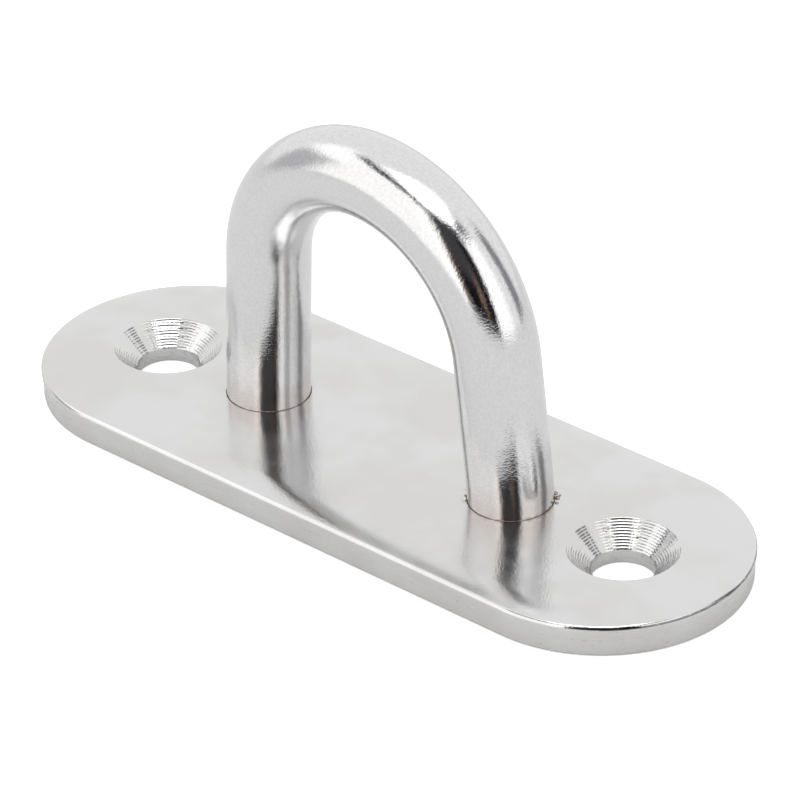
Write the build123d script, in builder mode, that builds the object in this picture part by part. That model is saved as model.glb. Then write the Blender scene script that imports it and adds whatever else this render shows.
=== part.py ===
"""Pad eye: a round bar bent into a bow, with its legs plug-welded through an oblong, countersunk base plate.

Frame: millimetres. The origin is the centre of the plate's underside, X runs along the plate and Z is up.
"""

import os
from math import cos, radians, sin

from build123d import *

os.makedirs("parts", exist_ok=True)

# Base plate: a blanked strip with full-round ends, polished until its top edge rolls off.
plate_length = 79.2
plate_width = 28.2
plate_thickness = 3.45
edge_roll_width = 2.6  # polishing dips the top face gently over this last stretch before its corner
edge_roll_angle = 12.0  # how steep the dip has become at the corner, in degrees
top_corner_radius = 0.45
wall_inset = 0.15  # the sheared wall's foot stands this far back from the rim, the widest line of the edge
wall_taper_height = 1.0  # height over which the edge comes in from the rim to the wall
underside_edge_radius = 0.3

# Screw holes, for countersunk screws.
screw_spacing = 56.3
screw_hole_diameter = 5.9
countersink_diameter = 10.5
countersink_angle = 96.0  # included angle, in degrees

# Bow: one round bar. Each leg stands square in its hole, turns inwards just above the plate and runs straight into
# its half of the bend. The bend was made by hand, so its top is off centre and the halves differ.
bar_diameter = 8.0
leg_spacing = 29.9
bow_height = 35.15  # from the underside of the plate to the top of the bar
crown_offset = -1.6  # of the bend's highest point, along the plate
left_lean = 2.5  # of the straight part of each leg, in degrees from upright
right_lean = 6.4
foot_bend_radius = 20.0  # where a leg turns from upright to its lean

# Legs in the plate: a close hole, opened by a bevel on the underside that the plug weld fills flush.
leg_hole_clearance = 0.1  # on the diameter
weld_depth = 1.2
weld_mouth_diameter = 10.6

rim_radius = plate_width / 2
end_centre = (plate_length - plate_width) / 2
wall_radius = rim_radius - wall_inset
leg_hole_diameter = bar_diameter + leg_hole_clearance
crown_height = bow_height - bar_diameter / 2


# The plate from its middle line out to its edge: X points outwards here and Y up.
with BuildSketch() as edge_section:
    with BuildLine():
        roll_radius = edge_roll_width / sin(radians(edge_roll_angle))
        roll_start = rim_radius - edge_roll_width - top_corner_radius * (1 - sin(radians(edge_roll_angle)))
        top = Line((0, plate_thickness), (roll_start, plate_thickness))
        roll = JernArc(top @ 1, (1, 0), roll_radius, -edge_roll_angle)
        corner = JernArc(roll @ 1, roll % 1, top_corner_radius, edge_roll_angle - 90)
        rim_height = (corner @ 1).Y
        taper = Line(corner @ 1, (wall_radius, rim_height - wall_taper_height))
        wall = Line(taper @ 1, (wall_radius, underside_edge_radius))
        underside_corner = JernArc(wall @ 1, (0, -1), underside_edge_radius, -90)
        Polyline(underside_corner @ 1, (0, 0), (0, plate_thickness))
    make_face()


def half_bow(side, lean):
    """Path of one half of the bow, from the highest point down to the weld. side is -1 for left and 1 for right.

    The bend's radius and the leg's straight length are the two unknowns of two linear equations: the half has to
    reach from the crown out to the leg's hole, and down to the plate.
    """
    reach = leg_spacing / 2 - side * crown_offset
    drop = crown_height - plate_thickness
    turn = radians(90 - lean)
    reach_left = reach - foot_bend_radius * (1 - sin(turn))
    drop_left = drop - foot_bend_radius * cos(turn)
    # reach_left = radius * sin(turn) + straight * cos(turn)
    # drop_left = radius * (1 - cos(turn)) + straight * sin(turn)
    determinant = sin(turn) ** 2 - cos(turn) * (1 - cos(turn))
    radius = (reach_left * sin(turn) - drop_left * cos(turn)) / determinant
    straight = (drop_left * sin(turn) - reach_left * (1 - cos(turn))) / determinant
    with BuildLine(Plane.XZ) as path:
        bend = JernArc((crown_offset, crown_height), (side, 0), radius, -side * (90 - lean))
        leg = PolarLine(bend @ 1, straight, direction=bend % 1)
        foot = JernArc(leg @ 1, leg % 1, foot_bend_radius, -side * lean)
        Line(foot @ 1, (side * leg_spacing / 2, weld_depth))
    return path


with BuildPart() as base_plate:
    with BuildSketch(Plane.YZ):
        add(edge_section.sketch)
    extrude(amount=end_centre)
    with BuildSketch(Plane.YZ.offset(end_centre)):
        add(edge_section.sketch)
    revolve(axis=Axis((end_centre, 0, 0), (0, 0, -1)), revolution_arc=90)
    mirror(about=Plane.XZ)
    mirror(about=Plane.YZ)
    with Locations((0, 0, plate_thickness)):
        with GridLocations(screw_spacing, 0, 2, 1):
            CounterSinkHole(
                screw_hole_diameter / 2, countersink_diameter / 2, counter_sink_angle=countersink_angle
            )
    with GridLocations(leg_spacing, 0, 2, 1):
        Hole(leg_hole_diameter / 2)
        Cone(
            weld_mouth_diameter / 2,
            leg_hole_diameter / 2,
            weld_depth,
            align=(Align.CENTER, Align.CENTER, Align.MIN),
            mode=Mode.SUBTRACT,
        )
base_plate.part.label = "base_plate"
export_step(base_plate.part, "parts/base_plate.step")

with BuildPart() as eye_bar:
    for side, lean in ((-1, left_lean), (1, right_lean)):
        path = half_bow(side, lean)
        with BuildSketch(Plane((crown_offset, 0, crown_height), x_dir=(0, 1, 0), z_dir=(side, 0, 0))):
            Circle(bar_diameter / 2)
        sweep(path=path.line)
eye_bar.part.label = "eye_bar"
export_step(eye_bar.part, "parts/eye_bar.step")


def plug_weld(side):
    """Weld metal that fills the bevel under one leg, ground flush with the underside."""
    with BuildPart() as weld:
        with Locations((side * leg_spacing / 2, 0, 0)):
            Cone(
                weld_mouth_diameter / 2,
                leg_hole_diameter / 2,
                weld_depth,
                align=(Align.CENTER, Align.CENTER, Align.MIN),
            )
    return weld.part


for side, name in ((-1, "weld_left"), (1, "weld_right")):
    weld = plug_weld(side)
    weld.label = name
    export_step(weld, f"parts/{name}.step")
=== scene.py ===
"""Pad eye: the looks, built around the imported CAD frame. Everything is in metres, in the frame of the CAD model."""

from math import ceil, cos, pi, radians, sin, tan

import bpy
from mathutils import Matrix, Vector


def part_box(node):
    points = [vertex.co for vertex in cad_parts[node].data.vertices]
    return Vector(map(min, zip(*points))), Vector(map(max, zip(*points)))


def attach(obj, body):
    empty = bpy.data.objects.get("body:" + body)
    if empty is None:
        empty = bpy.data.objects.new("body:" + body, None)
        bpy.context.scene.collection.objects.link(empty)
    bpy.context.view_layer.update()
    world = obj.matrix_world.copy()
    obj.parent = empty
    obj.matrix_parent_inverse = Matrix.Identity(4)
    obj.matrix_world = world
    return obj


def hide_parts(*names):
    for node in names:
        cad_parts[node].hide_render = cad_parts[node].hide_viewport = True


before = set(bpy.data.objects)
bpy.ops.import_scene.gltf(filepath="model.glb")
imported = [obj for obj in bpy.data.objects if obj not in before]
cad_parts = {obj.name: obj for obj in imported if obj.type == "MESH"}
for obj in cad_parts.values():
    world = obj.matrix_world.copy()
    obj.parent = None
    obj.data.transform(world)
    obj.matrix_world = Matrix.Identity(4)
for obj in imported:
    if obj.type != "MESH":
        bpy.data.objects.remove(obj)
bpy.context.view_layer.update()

MM = 0.001

# Sizes that the frame gives.
plate_low, plate_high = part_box("base_plate")
bar_low, bar_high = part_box("eye_bar")
weld_low, weld_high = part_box("weld_right")
thickness = plate_high.z
half_width = plate_high.y
end_centre = plate_high.x - half_width
bar_radius = bar_high.y
leg_x = (weld_low.x + weld_high.x) / 2
weld_mouth = (weld_high.x - weld_low.x) / 2
weld_depth = weld_high.z
crown_height = bar_high.z - bar_radius

# Plate edge: the top face rolls off and turns a tight corner to the rim, under which the sheared wall stands back.
roll_width = 2.6 * MM
roll_angle = radians(12)
top_corner_radius = 0.45 * MM
wall_inset = 0.15 * MM
wall_taper_height = 1.0 * MM
taper_knee = 0.35  # share of the inset that is reached halfway down the taper
underside_radius = 0.3 * MM
rim_height = thickness - roll_width * tan(roll_angle / 2) - top_corner_radius * cos(roll_angle)

# Screw holes.
screw_spacing = 56.3 * MM
screw_radius = 2.95 * MM
countersink_radius = 5.25 * MM
countersink_slope = radians(48)
# Height in millimetres of each ridge that the cutter left on the cone, from the bottom up. Each rises slowly over
# most of its width and falls back over the rest.
tool_rings = (0.014, 0.022, 0.017, 0.026, 0.013, 0.024, 0.019, 0.012, 0.023, 0.015, 0.021)
ring_rise = 0.75
edge_break = 0.06 * MM  # on every sharp edge, from the polishing
close_together = 0.002 * MM  # points nearer than this are one point
past = 0.5 * MM  # how far a cutter reaches past a face

# Bow. The bend was made by hand, so its top is off centre and its legs lean by different amounts.
crown_x = -1.6 * MM
left_lean = radians(2.5)
right_lean = radians(6.4)
foot_radius = 20 * MM
leg_clearance = 0.02 * MM  # round each leg, in the plate
bar_ring_spacing = 0.5 * MM

# Weld spatter beside the right leg: angle round the leg in degrees, then distance from the bar and radius, both in
# millimetres.
spatter_beads = (
    (40, 0.24, 0.28),
    (51, 0.15, 0.24),
    (28, 0.3, 0.18),
    (63, 0.12, 0.2),
    (45, 0.5, 0.14),
    (16, 0.1, 0.14),
    (75, 0.1, 0.15),
    (214, 0.12, 0.15),
    (226, 0.08, 0.12),
)
bead_flatness = 0.55  # height of a bead as a share of its width
bead_roughness = 0.12  # how far its surface strays, as a share of its radius
bead_depth = 0.02 * MM  # how far it sinks into the plate

# Direction from the object to the camera.
view_azimuth = radians(41.907)
view_elevation = radians(31.037)
view_roll = radians(-1.178)
to_camera = Vector(
    (
        sin(view_azimuth) * cos(view_elevation),
        -cos(view_azimuth) * cos(view_elevation),
        sin(view_elevation),
    )
)
camera_target = Vector((0.82, 0.94, 8.0)) * MM
camera_distance = 449.3 * MM
camera_lens = 218.9  # focal length in millimetres, on a sensor 36 mm wide

# Overhead softbox, in degrees as seen from the object.
softbox_height = 0.5
softbox_edge = 61  # elevation down to which it reaches on the camera's side
softbox_half_width = 19
softbox_radiance = 1.3


# ---------------------------------------------------------------- helpers


def colour(text):
    """Linear RGBA of an sRGB hex colour."""
    channels = [int(text[i : i + 2], 16) / 255 for i in (1, 3, 5)]
    return [c / 12.92 if c <= 0.04045 else ((c + 0.055) / 1.055) ** 2.4 for c in channels] + [1.0]


def add(tree, kind, settings, inputs, output=0):
    """Adds a node with its settings and links. inputs are values, or the sockets that feed them, by the input's name
    or number. Gives the socket of one of its outputs."""
    node = tree.nodes.new("ShaderNode" + kind)
    for name, value in settings.items():
        setattr(node, name, value)
    for key, value in inputs.items():
        if isinstance(value, bpy.types.NodeSocket):
            tree.links.new(value, node.inputs[key])
        else:
            node.inputs[key].default_value = value
    return node.outputs[output]


def deselect():
    for o in bpy.context.selected_objects:
        o.select_set(False)


def edit(obj):
    """Only obj is selected, in edit mode, with all of its mesh selected."""
    deselect()
    bpy.context.view_layer.objects.active = obj
    obj.select_set(True)
    bpy.ops.object.mode_set(mode="EDIT")
    bpy.ops.mesh.select_all(action="SELECT")


def finish_edit(obj, name):
    """Leaves edit mode, names the piece and puts its place into its mesh."""
    bpy.ops.object.mode_set(mode="OBJECT")
    bpy.ops.object.transform_apply(location=True, rotation=True, scale=True)
    obj.name = name
    obj.data.name = name
    return obj


def apply_modifier(obj, kind, **settings):
    deselect()
    bpy.context.view_layer.objects.active = obj
    obj.select_set(True)
    modifier = obj.modifiers.new(kind.lower(), kind)
    for key, value in settings.items():
        setattr(modifier, key, value)
    bpy.ops.object.modifier_apply(modifier=modifier.name)


def start_chain(point, name):
    """A mesh of one vertex, in edit mode, from which a section is drawn by extruding and spinning."""
    deselect()
    bpy.ops.mesh.primitive_plane_add(size=1 * MM, location=(0, 0, 0))
    obj = bpy.context.active_object
    obj.name = name
    bpy.ops.object.mode_set(mode="EDIT")
    bpy.ops.mesh.select_all(action="SELECT")
    bpy.ops.mesh.merge(type="CENTER")
    bpy.ops.transform.translate(value=point)
    return obj


def run(x, z):
    """Extrudes the section's last vertex by (x, z)."""
    bpy.ops.mesh.extrude_region_move(TRANSFORM_OT_translate={"value": (x, 0, z)})


def arc(centre, turn, steps):
    """Spins the section's last vertex clockwise about a centre (x, z), seen with X to the right and Z up."""
    bpy.ops.mesh.spin(steps=steps, angle=turn, center=(centre[0], 0, centre[1]), axis=(0, -1, 0))


# ---------------------------------------------------------------- base plate


def plate_edge():
    """The edge all round the plate: its section, from the flat of the top face to the flat of the underside, is
    spun round one end, drawn along the side, spun round the other end and drawn back."""
    corner_in = top_corner_radius * (1 - sin(roll_angle))
    roll_radius = roll_width / sin(roll_angle)
    roll_start = end_centre + half_width - roll_width - corner_in
    rim_x = end_centre + half_width
    wall_x = rim_x - wall_inset
    obj = start_chain((roll_start, 0, thickness), "plate_polished")
    arc((roll_start, thickness - roll_radius), roll_angle, 16)
    arc((rim_x - top_corner_radius, rim_height), pi / 2 - roll_angle, 14)
    run(-wall_inset * taper_knee, -wall_taper_height / 2)
    run(-wall_inset * (1 - taper_knee), -wall_taper_height / 2)
    run(0, underside_radius - (rim_height - wall_taper_height))
    arc((wall_x - underside_radius, underside_radius), pi / 2, 6)
    bpy.ops.mesh.select_all(action="SELECT")
    bpy.ops.transform.rotate(value=pi / 2, orient_axis="Z", center_override=(end_centre, 0, 0))
    for side in (1, -1):
        bpy.ops.mesh.spin(steps=72, angle=-pi, center=(side * end_centre, 0, 0), axis=(0, 0, 1))
        bpy.ops.mesh.extrude_region_move(TRANSFORM_OT_translate={"value": (-2 * side * end_centre, 0, 0)})
    close_surface()
    return obj


def close_surface():
    """Joins the points that lie together."""
    bpy.ops.mesh.select_all(action="SELECT")
    bpy.ops.mesh.remove_doubles(threshold=close_together)


def fill_level(obj, z):
    """Closes the open loop that lies at height z with one face."""
    select_vertices(obj, lambda place: abs(place.z - z) < close_together / 2)
    bpy.ops.mesh.edge_face_add()


def select_vertices(obj, wanted):
    bpy.ops.mesh.select_mode(type="VERT")
    bpy.ops.mesh.select_all(action="DESELECT")
    bpy.ops.object.mode_set(mode="OBJECT")
    for v in obj.data.vertices:
        v.select = wanted(v.co)
    bpy.ops.object.mode_set(mode="EDIT")


def turned_cutter(x, corners, name):
    """A solid of revolution about the upright line through (x, 0). corners are its (radius, z) points, from the
    bottom to the top."""
    (radius, z), *rest = corners
    obj = start_chain((x + radius, 0, z), name)
    for next_radius, next_z in rest:
        run(next_radius - radius, next_z - z)
        radius, z = next_radius, next_z
    bpy.ops.mesh.select_all(action="SELECT")
    bpy.ops.mesh.spin(steps=96, angle=2 * pi, center=(x, 0, 0), axis=(0, 0, 1))
    close_surface()
    bpy.ops.mesh.normals_make_consistent(inside=False)
    bpy.ops.object.mode_set(mode="OBJECT")
    return obj


def countersink_corners():
    """Half-section of a screw hole. Its cone carries the shallow, uneven rings of the cutter that made it."""
    cone_height = (countersink_radius - screw_radius) / tan(countersink_slope)
    cone_start = thickness - cone_height
    points_per_ring = 6
    steps = len(tool_rings) * points_per_ring
    corners = [(0, -past), (screw_radius, -past), (screw_radius, cone_start)]
    for i in range(1, steps):
        share = i / steps
        phase = i % points_per_ring / points_per_ring
        ridge = tool_rings[i // points_per_ring] * MM * min(phase / ring_rise, (1 - phase) / (1 - ring_rise))
        radius = screw_radius + (countersink_radius - screw_radius) * share - ridge * cos(countersink_slope)
        z = cone_start + cone_height * share + ridge * sin(countersink_slope)
        corners.append((radius, z))
    over = past * tan(countersink_slope)
    above = thickness + past
    return corners + [(countersink_radius, thickness), (countersink_radius + over, above), (0, above)]


def leg_hole_corners():
    """Half-section of a leg's hole, opened on the underside by the bevel that the weld fills."""
    hole = bar_radius + leg_clearance
    above = thickness + past
    return [(0, -past), (weld_mouth, -past), (weld_mouth, 0), (hole, weld_depth), (hole, above), (0, above)]


def make_plate():
    """The base plate: its edge, its two faces, the four holes and a fine break on every sharp edge."""
    obj = plate_edge()
    fill_level(obj, thickness)
    fill_level(obj, 0)
    bpy.ops.mesh.select_all(action="SELECT")
    bpy.ops.mesh.normals_make_consistent(inside=False)
    finish_edit(obj, "plate_polished")
    for side in (-1, 1):
        for x, corners in ((screw_spacing / 2, countersink_corners()), (leg_x, leg_hole_corners())):
            cutter = turned_cutter(side * x, corners, "cutter")
            apply_modifier(obj, "BOOLEAN", operation="DIFFERENCE", object=cutter, solver="EXACT")
            bpy.data.objects.remove(cutter)
    edit(obj)
    close_surface()
    bpy.ops.mesh.dissolve_degenerate(threshold=close_together)
    bpy.ops.object.mode_set(mode="OBJECT")
    sharp = {"limit_method": "ANGLE", "angle_limit": radians(40)}
    apply_modifier(obj, "BEVEL", width=edge_break, segments=3, use_clamp_overlap=False, **sharp)
    bpy.ops.object.shade_smooth_by_angle(angle=radians(35))
    apply_modifier(obj, "WEIGHTED_NORMAL", keep_sharp=True, weight=100)
    return obj


# ---------------------------------------------------------------- bow


def bow_runs():
    """The bar's centre line from the left weld to the right one, as (length, turn): the bends' radii and the straight
    lengths are those that close each half between its leg's hole and the crown."""
    halves = []
    for side, lean in ((-1, left_lean), (1, right_lean)):
        turn = pi / 2 - lean
        reach = leg_x - side * crown_x - foot_radius * (1 - sin(turn))
        drop = crown_height - thickness - foot_radius * cos(turn)
        determinant = sin(turn) ** 2 - cos(turn) * (1 - cos(turn))
        radius = (reach * sin(turn) - drop * cos(turn)) / determinant
        straight = (drop * sin(turn) - reach * (1 - cos(turn))) / determinant
        halves.append([(thickness - weld_depth, 0), (foot_radius * lean, lean), (straight, 0), (radius * turn, turn)])
    left, right = halves
    return left + right[::-1]


def bend_point(straight_point, runs):
    """Where a point of the straight bar, which stands on the left weld, lies once the bar is bent."""
    place, heading, left_over = Vector((-leg_x, 0, weld_depth)), pi / 2, straight_point.z
    for length, turn in runs:
        step = min(left_over, length)
        if turn:
            radius = length / turn
            swept = step / radius
            place += radius * Vector((sin(heading) - sin(heading - swept), 0, cos(heading - swept) - cos(heading)))
            heading -= swept
        else:
            place += step * Vector((cos(heading), 0, sin(heading)))
        left_over -= step
        if left_over <= 0:
            break
    across = Vector((sin(heading), 0, -cos(heading)))
    return place + across * straight_point.x + Vector((0, straight_point.y, 0))


def make_bow():
    """A straight round bar, drawn out ring by ring and then bent. Its unbent places are kept for its finish."""
    runs = bow_runs()
    bar_length = sum(length for length, _ in runs)
    rings = ceil(bar_length / bar_ring_spacing)
    deselect()
    bpy.ops.mesh.primitive_circle_add(vertices=96, radius=bar_radius, fill_type="NGON", location=(0, 0, 0))
    obj = bpy.context.active_object
    edit(obj)
    for _ in range(rings):
        bpy.ops.mesh.extrude_region_move(TRANSFORM_OT_translate={"value": (0, 0, bar_length / rings)})
    bpy.ops.mesh.select_all(action="SELECT")
    bpy.ops.mesh.normals_make_consistent(inside=False)
    finish_edit(obj, "bow_polished")
    unbent = obj.data.attributes.new("straight_bar", "FLOAT_VECTOR", "POINT")
    for v in obj.data.vertices:
        unbent.data[v.index].vector = v.co
        v.co = bend_point(v.co, runs)
    deselect()
    bpy.context.view_layer.objects.active = obj
    obj.select_set(True)
    bpy.ops.object.shade_smooth_by_angle(angle=radians(40))
    return obj


def make_spatter():
    """A few beads of weld spatter, melted on to the plate beside the right leg."""
    deselect()
    beads = []
    for angle, out, size in spatter_beads:
        reach = bar_radius + out * MM
        place = (leg_x + reach * cos(radians(angle)), reach * sin(radians(angle)), thickness)
        bpy.ops.mesh.primitive_ico_sphere_add(subdivisions=3, radius=size * MM, location=place)
        bead = bpy.context.active_object
        edit(bead)
        bpy.ops.transform.resize(value=(1, 1, bead_flatness), center_override=place)
        bpy.ops.transform.vertex_random(offset=size * bead_roughness * MM, seed=len(beads) + 1)
        bpy.ops.mesh.vertices_smooth(repeat=2)
        foot = {"plane_co": (0, 0, thickness - bead_depth), "plane_no": (0, 0, 1), "threshold": 0.0001 * MM}
        bpy.ops.mesh.bisect(clear_inner=True, use_fill=True, **foot)
        bpy.ops.object.mode_set(mode="OBJECT")
        beads.append(bead)
    deselect()
    for bead in beads:
        bead.select_set(True)
    bpy.context.view_layer.objects.active = beads[0]
    bpy.ops.object.join()
    obj = beads[0]
    edit(obj)
    bpy.ops.mesh.normals_make_consistent(inside=False)
    finish_edit(obj, "weld_spatter")
    bpy.ops.object.shade_smooth()
    return obj


# ---------------------------------------------------------------- finishes

# Node settings that come back often.
EASED = {"interpolation_type": "SMOOTHSTEP"}
RGBA = {"data_type": "RGBA"}
TIMES = {"operation": "MULTIPLY"}
MINUS = {"operation": "SUBTRACT"}
TIMES_PLUS = {"operation": "MULTIPLY_ADD"}
SIZE = {"operation": "ABSOLUTE"}


def new_material(name):
    """A material whose tree only has its output."""
    material = bpy.data.materials.new(name)
    material.use_nodes = True
    tree = material.node_tree
    tree.nodes.remove(tree.nodes["Principled BSDF"])
    return material, tree


def show(tree, shader):
    """Links the shader to the material's output."""
    tree.links.new(shader, tree.nodes["Material Output"].inputs["Surface"])


def millimetres(tree):
    """Object coordinates in millimetres."""
    place = add(tree, "TexCoord", {}, {}, "Object")
    return add(tree, "VectorMath", {"operation": "SCALE"}, {"Vector": place, "Scale": 1 / MM})


def ring_parts(tree, place, x):
    """Distance in millimetres from the nearer of two upright lines, at +x and -x, and the direction away from it."""
    along = add(tree, "Math", SIZE, {0: add(tree, "SeparateXYZ", {}, {0: place}, "X")})
    along = add(tree, "Math", MINUS, {0: along, 1: x / MM})
    away = add(tree, "CombineXYZ", {}, {0: along, 1: add(tree, "SeparateXYZ", {}, {0: place}, "Y")})
    distance = add(tree, "VectorMath", {"operation": "LENGTH"}, {0: away}, "Value")
    return distance, add(tree, "VectorMath", {"operation": "NORMALIZE"}, {0: away})


def plate_finish():
    """Stainless steel, blanked and then polished on a cloth wheel: a satin mirror on top and a brighter one where the
    wheel pressed on the edge, with a sheared wall that keeps its fine pits, and oxide tint where the legs were welded
    in. The countersinks are as the cutter left them, with its chatter. Patterns are sized in millimetres."""
    material, tree = new_material("stainless_satin_polished")
    place = millimetres(tree)
    along = add(tree, "SeparateXYZ", {}, {0: place}, "X")
    height = add(tree, "SeparateXYZ", {}, {0: place}, "Z")
    upward = add(tree, "SeparateXYZ", {}, {0: add(tree, "NewGeometry", {}, {}, "Normal")}, "Z")
    upward = add(tree, "Math", SIZE, {0: upward})
    is_wall = add(tree, "MapRange", EASED, {"Value": upward, "From Min": 0.12, "From Max": 0.04})
    is_edge = add(tree, "MapRange", EASED, {"Value": upward, "From Min": 0.97, "From Max": 0.9})
    leg_gap, _ = ring_parts(tree, place, leg_x)
    hole_gap, hole_direction = ring_parts(tree, place, screw_spacing / 2)
    bar = bar_radius / MM
    rim = rim_height / MM

    # Faint clouds, 7 mm across.
    cloud = add(tree, "TexNoise", {}, {"Vector": place, "Scale": 1 / 7.0})
    cloud = add(tree, "MapRange", EASED, {"Value": cloud, "From Min": 0.35, "From Max": 0.65})
    steel = add(tree, "Mix", RGBA, {0: cloud, 6: colour("#dcdcdc"), 7: colour("#d6d5d4")}, 2)

    # Oxide round the legs: blotchy, and stronger round the right one.
    strength = {"From Min": -1, "From Max": 1, "To Min": 0.2, "To Max": 0.5}
    strength = add(tree, "MapRange", EASED, {"Value": along, **strength})
    blotch = add(tree, "TexNoise", {}, {"Vector": place, "Scale": 1 / 0.8, "Detail": 3.0})
    reach = add(tree, "Math", TIMES_PLUS, {0: blotch, 1: -1.8, 2: leg_gap})
    tint = add(tree, "MapRange", EASED, {"Value": reach, "From Min": bar - 0.45, "From Max": bar - 1.05})
    tint = add(tree, "Math", TIMES, {0: tint, 1: strength})
    steel = add(tree, "Mix", RGBA, {0: tint, 6: steel, 7: colour("#a08c82")}, 2)

    # Painted reflection: a patchy dark line along the corner of the right end, where it mirrors something dark.
    line = {"Value": height, "From Min": rim + 0.04, "From Max": rim + 0.1, "To Max": 0.75}
    line = add(tree, "MapRange", EASED, line)
    below = add(tree, "MapRange", EASED, {"Value": height, "From Min": rim + 0.3, "From Max": rim + 0.22})
    at_end = add(tree, "MapRange", EASED, {"Value": along, "From Min": 32, "From Max": 35})
    patchy = add(tree, "MapRange", EASED, {"Value": blotch, "From Min": 0.3, "From Max": 0.5, "To Min": 0.4})
    for share in (below, at_end, patchy):
        line = add(tree, "Math", TIMES, {0: line, 1: share})
    steel = add(tree, "Mix", RGBA, {0: line, 6: steel, 7: colour("#3c3a3b")}, 2)

    # The fine brown seam round each leg.
    uneven = add(tree, "Math", TIMES_PLUS, {0: blotch, 1: -0.25, 2: leg_gap})
    seam = add(tree, "MapRange", EASED, {"Value": uneven, "From Min": bar - 0.01, "From Max": bar - 0.1})
    steel = add(tree, "Mix", RGBA, {0: seam, 6: steel, 7: colour("#9d9088")}, 2)

    # Satin on the flat, brighter on the edge and in the countersinks, duller on the wall.
    worn = add(tree, "TexNoise", {}, {"Vector": place, "Scale": 1 / 3.0})
    satin = {"From Min": 0.3, "From Max": 0.7, "To Min": 0.15, "To Max": 0.2}
    worn = add(tree, "MapRange", EASED, {"Value": worn, **satin})
    matt = add(tree, "Mix", {}, {0: is_edge, 2: worn, 3: 0.08})
    matt = add(tree, "Mix", {}, {0: is_wall, 2: matt, 3: 0.28})

    # Polishing grain, drawn as coarse as it needs to show, then the wall's shear marks and pits.
    grain = add(tree, "TexNoise", {}, {"Vector": place, "Scale": 1 / 0.2, "Detail": 1.0})
    normal = add(tree, "Bump", {}, {"Height": grain, "Distance": 0.01 * MM})
    sheared = add(tree, "TexNoise", {}, {"Vector": place, "Scale": 1 / 0.3, "Detail": 3.0})
    sheared = add(tree, "Math", TIMES, {0: sheared, 1: is_wall})
    normal = add(tree, "Bump", {}, {"Height": sheared, "Distance": 0.03 * MM, "Normal": normal})
    pits = add(tree, "TexNoise", {}, {"Vector": place, "Scale": 1 / 0.45})
    pits = add(tree, "MapRange", EASED, {"Value": pits, "From Min": 0.4, "From Max": 0.32})
    pits = add(tree, "Math", TIMES, {0: pits, 1: is_wall})
    normal = add(tree, "Bump", {}, {"Height": pits, "Distance": -0.03 * MM, "Normal": normal})

    # The cutter's chatter, which runs up and down the countersinks, about six marks to the radian.
    chatter = add(tree, "TexNoise", {}, {"Vector": hole_direction, "Scale": 6.0, "Detail": 1.0})
    mouth = countersink_radius / MM
    in_hole = add(tree, "MapRange", EASED, {"Value": hole_gap, "From Min": mouth + 0.05, "From Max": mouth - 0.05})
    for share in (in_hole, is_edge):
        chatter = add(tree, "Math", TIMES, {0: chatter, 1: share})
    normal = add(tree, "Bump", {}, {"Height": chatter, "Distance": 0.05 * MM, "Normal": normal})
    shader = {"Base Color": steel, "Metallic": 1.0, "Roughness": matt, "Normal": normal}
    show(tree, add(tree, "BsdfPrincipled", {}, shader))
    return material


def bow_finish():
    """Stainless bar, bent and then polished bright on a belt that ran round it, so that its fine scratches lie round
    the bar and ruffle the edge of every reflection. The heat of the welds left a faint straw tint at its feet."""
    material, tree = new_material("stainless_bright_polished")
    unbent = add(tree, "Attribute", {"attribute_name": "straight_bar"}, {}, "Vector")
    place = add(tree, "VectorMath", {"operation": "SCALE"}, {"Vector": unbent, "Scale": 1 / MM})
    height = add(tree, "SeparateXYZ", {}, {0: millimetres(tree)}, "Z")
    blotch = add(tree, "TexNoise", {}, {"Vector": place, "Scale": 1 / 1.2, "Detail": 3.0})
    level = add(tree, "Math", TIMES_PLUS, {0: blotch, 1: -3.0, 2: height})
    top = thickness / MM
    foot = {"From Min": top + 2.5, "From Max": top - 1.0, "To Max": 0.4}
    tint = add(tree, "MapRange", EASED, {"Value": level, **foot})
    cloud = add(tree, "TexNoise", {}, {"Vector": place, "Scale": 1 / 0.25, "Detail": 3.0})
    cloud = add(tree, "MapRange", EASED, {"Value": cloud, "From Min": 0.35, "From Max": 0.65})
    steel = add(tree, "Mix", RGBA, {0: cloud, 6: colour("#e0e0e0"), 7: colour("#d9d9da")}, 2)
    steel = add(tree, "Mix", RGBA, {0: tint, 6: steel, 7: colour("#c6b8af")}, 2)

    # Slow waves from the hand polishing, then scratches round the bar and specks, which are drawn as coarse as they
    # need to show.
    waves = add(tree, "TexNoise", {}, {"Vector": place, "Scale": 1 / 2.2})
    normal = add(tree, "Bump", {}, {"Height": waves, "Distance": 0.03 * MM})
    squeezed = add(tree, "VectorMath", TIMES, {0: place, 1: (0.35, 0.35, 1.0)})
    scratches = add(tree, "TexNoise", {}, {"Vector": squeezed, "Scale": 1 / 0.12, "Detail": 3.0})
    normal = add(tree, "Bump", {}, {"Height": scratches, "Distance": 0.011 * MM, "Normal": normal})
    specks = add(tree, "TexNoise", {}, {"Vector": place, "Scale": 1 / 0.14, "Detail": 2.0})
    normal = add(tree, "Bump", {}, {"Height": specks, "Distance": 0.009 * MM, "Normal": normal})
    shader = {"Base Color": steel, "Metallic": 1.0, "Roughness": 0.07, "Normal": normal}
    show(tree, add(tree, "BsdfPrincipled", {}, shader))
    return material


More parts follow.
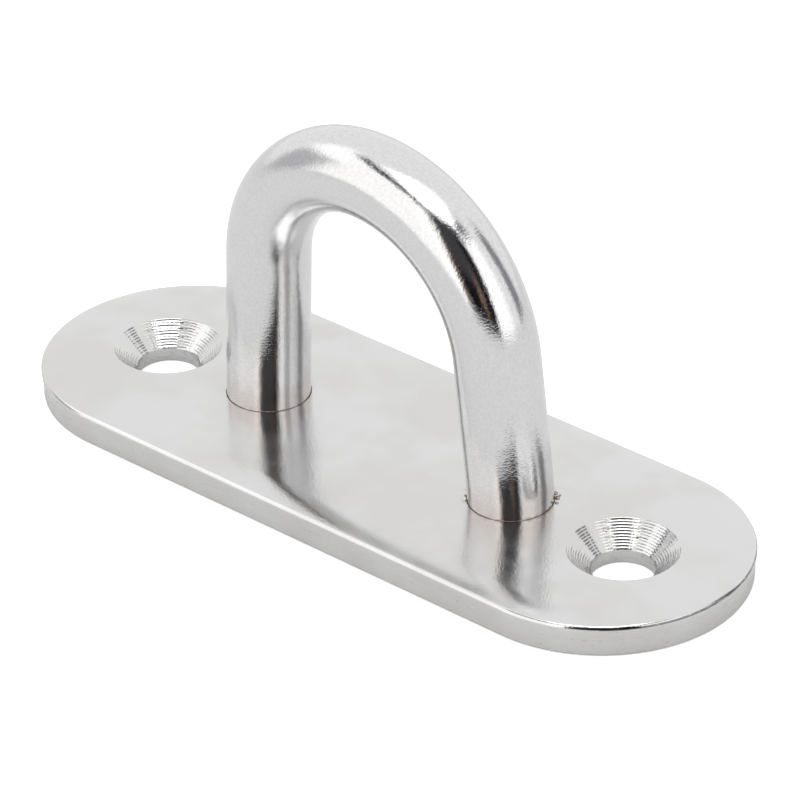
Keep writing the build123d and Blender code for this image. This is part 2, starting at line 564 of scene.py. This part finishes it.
def weld_finish():
    """Weld metal, ground flush with the underside by a disc, which leaves fine lines and a straw tint at its rim."""
    material, tree = new_material("weld_ground_flush")
    place = millimetres(tree)
    gap, _ = ring_parts(tree, place, leg_x)
    tint = add(tree, "MapRange", EASED, {"Value": gap, "From Min": 3.2, "From Max": 5.2, "To Max": 0.6})
    steel = add(tree, "Mix", RGBA, {0: tint, 6: colour("#c8c5c1"), 7: colour("#a98f74")}, 2)
    stretched = add(tree, "VectorMath", TIMES, {0: place, 1: (0.15, 1.0, 1.0)})
    lines = add(tree, "TexNoise", {}, {"Vector": stretched, "Scale": 1 / 0.2})
    normal = add(tree, "Bump", {}, {"Height": lines, "Distance": 0.012 * MM})
    shader = {"Base Color": steel, "Metallic": 1.0, "Roughness": 0.32, "Normal": normal}
    show(tree, add(tree, "BsdfPrincipled", {}, shader))
    return material


def spatter_finish():
    """Beads of weld metal that cooled in air: dull, patched with brown oxide."""
    material, tree = new_material("weld_spatter_oxide")
    rust = add(tree, "TexNoise", {}, {"Vector": millimetres(tree), "Scale": 1 / 0.3})
    rust = add(tree, "MapRange", EASED, {"Value": rust, "From Min": 0.35, "From Max": 0.65})
    steel = add(tree, "Mix", RGBA, {0: rust, 6: colour("#bdb6b0"), 7: colour("#75645a")}, 2)
    show(tree, add(tree, "BsdfPrincipled", {}, {"Base Color": steel, "Metallic": 1.0, "Roughness": 0.4}))
    return material


def give(obj, material):
    """Makes it the only material of obj."""
    obj.data.materials.clear()
    obj.data.materials.append(material)


# ---------------------------------------------------------------- pieces on the frame


def place_pieces():
    """Makes the visible pieces, with their finishes, hides the CAD parts that they stand in for and hangs each piece
    on the root body.
    """
    plate = make_plate()
    give(plate, plate_finish())
    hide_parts("base_plate")
    bow = make_bow()
    give(bow, bow_finish())
    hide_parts("eye_bar")
    spatter = make_spatter()
    give(spatter, spatter_finish())
    for piece in (plate, bow, spatter):
        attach(piece, "root")
    weld_metal = weld_finish()
    for name in ("weld_left", "weld_right"):
        give(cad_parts[name], weld_metal)


# ---------------------------------------------------------------- studio


def make_floor():
    """White paper, which the camera sees as plain white."""
    deselect()
    bpy.ops.mesh.primitive_plane_add(size=4.0, location=(0, 0, -0.02 * MM))
    floor = bpy.context.active_object
    floor.name = "floor"
    material, tree = new_material("white_paper_sweep")
    seen = add(tree, "LightPath", {}, {}, "Is Camera Ray")
    glow = add(tree, "Math", TIMES, {0: seen, 1: 0.6})  # no more than lifts the lit paper to plain white
    paper = {"Base Color": colour("#ededed"), "Roughness": 0.9, "Emission Color": colour("#ffffff")}
    show(tree, add(tree, "BsdfPrincipled", {}, {**paper, "Emission Strength": glow}))
    give(floor, material)


def band(tree, value, low, high, soft):
    """1 between low and high, falling to 0 over soft on both sides. All are in degrees, value in radians."""
    low_edge = {"From Min": radians(low - soft), "From Max": radians(low)}
    high_edge = {"From Min": radians(high + soft), "From Max": radians(high)}
    rise = add(tree, "MapRange", EASED, {"Value": value, **low_edge})
    fall = add(tree, "MapRange", EASED, {"Value": value, **high_edge})
    return add(tree, "Math", TIMES, {0: rise, 1: fall})


# Patches of the light tent, painted in this order: azimuths low, high and soft edge, elevations low, high and soft
# edge, all in degrees, and radiance. Azimuths are from the camera's, to the right.
tent_patches = (
    ((-115, -97, 14), (-30, 20, 18), (0.58, 0.58, 0.59, 1)),  # unlit side, left
    ((90, 102, 8), (-30, 36, 10), (0.3, 0.3, 0.31, 1)),  # post, right
    ((-122, -80, 12), (32, 52, 8), (1.4, 1.4, 1.4, 1)),  # lamp, high on the left
    ((-84, -36, 9), (-30, 48, 12), (1.33, 1.32, 1.3, 1)),  # lamp panel, left
    ((-36, -27, 5), (-30, 50, 6), (1.6, 1.56, 1.5, 1)),  # its bright end
    ((27, 58, 12), (-30, 50, 6), (1.4, 1.4, 1.39, 1)),  # lamp panel, right
    ((-95, 55, 25), (53.5, 60.3, 0.8), (0.03, 0.03, 0.035, 1)),  # rail under the softbox
)
raggedness = 10  # degrees over which the sides of the opening, and of what stands in it, wander
opening_patches = (
    ((-25, 25, 3), (-30, 58, 3), (0.06, 0.06, 0.065, 1)),  # the open front
    ((-16, 4, 4), (-30, 17, 8), (0.008, 0.008, 0.01, 1)),  # what stands in it: dark things and thin timber
    ((11, 23, 3), (8, 44, 8), (0.008, 0.008, 0.01, 1)),
    ((-25, -21, 2), (6, 28, 8), (0.16, 0.1, 0.08, 1)),
    ((5.5, 6.5, 1), (9, 24, 3), (0.45, 0.29, 0.22, 1)),
    ((9, 9.8, 0.8), (9, 34, 3), (0.4, 0.25, 0.18, 1)),
)


def make_world():
    """A white light tent under an overhead softbox, with an open, dark front round the camera."""
    world = bpy.data.worlds.new("light_tent")
    bpy.context.scene.world = world
    world.use_nodes = True
    tree = world.node_tree
    way = add(tree, "TexCoord", {}, {}, "Generated")
    right, forward, upright = (
        add(tree, "VectorMath", {"operation": "DOT_PRODUCT"}, {0: way, 1: axis}, "Value")
        for axis in (
            (cos(view_azimuth), sin(view_azimuth), 0),
            (sin(view_azimuth), -cos(view_azimuth), 0),
            (0, 0, 1),
        )
    )
    azimuth = add(tree, "Math", {"operation": "ARCTAN2"}, {0: right, 1: forward})
    elevation = add(tree, "Math", {"operation": "ARCSINE"}, {0: upright})
    ripple = add(tree, "TexNoise", {}, {"Vector": way, "Scale": 14.0, "Detail": 4.0})
    torn = add(tree, "Math", TIMES_PLUS, {0: ripple, 1: radians(raggedness), 2: azimuth})
    torn = add(tree, "Math", MINUS, {0: torn, 1: radians(raggedness / 2)})
    light = (1.0, 1.0, 1.0, 1)
    for patches, across in ((tent_patches, azimuth), (opening_patches, torn)):
        for sideways, upwards, radiance in patches:
            inside = {0: band(tree, across, *sideways), 1: band(tree, elevation, *upwards)}
            share = add(tree, "Math", TIMES, inside)
            light = add(tree, "Mix", RGBA, {0: share, 6: light, 7: radiance}, 2)
    seen = add(tree, "LightPath", {}, {}, "Is Camera Ray")
    light = add(tree, "Mix", RGBA, {0: seen, 6: light, 7: (1, 1, 1, 1)}, 2)
    tree.links.new(light, tree.nodes["Background"].inputs["Color"])


def make_softbox():
    """The oblong softbox overhead, which reaches from the zenith down to the rail on the camera's side."""
    length = softbox_height / tan(radians(softbox_edge))
    width = 2 * softbox_height * tan(radians(softbox_half_width))
    middle = Vector((to_camera.x, to_camera.y, 0)).normalized() * length / 2
    middle.z = softbox_height
    bpy.ops.object.light_add(type="AREA", location=middle, rotation=(0, 0, view_azimuth))
    lamp = bpy.context.active_object
    lamp.name = "overhead_softbox"
    lamp.data.shape = "RECTANGLE"
    lamp.data.size = width
    lamp.data.size_y = length
    lamp.data.energy = softbox_radiance * pi * width * length
    lamp.visible_camera = False


def make_camera():
    """Stands where the object is seen from the front right and from above, through a long lens."""
    bpy.ops.object.camera_add()
    camera = bpy.context.active_object
    right = Vector((cos(view_azimuth), sin(view_azimuth), 0))
    up = to_camera.cross(right)
    tilted_right = cos(view_roll) * right + sin(view_roll) * up
    tilted_up = cos(view_roll) * up - sin(view_roll) * right
    place = camera_target + to_camera * camera_distance
    axes = Matrix((tilted_right, tilted_up, to_camera)).transposed().to_4x4()
    camera.matrix_world = Matrix.Translation(place) @ axes
    camera.data.sensor_width = 36
    camera.data.lens = camera_lens
    camera.data.clip_start = 0.01
    camera.data.clip_end = 20
    bpy.context.scene.camera = camera


place_pieces()
make_floor()
make_world()
make_softbox()
make_camera()
bpy.context.scene.view_settings.view_transform = "Standard"
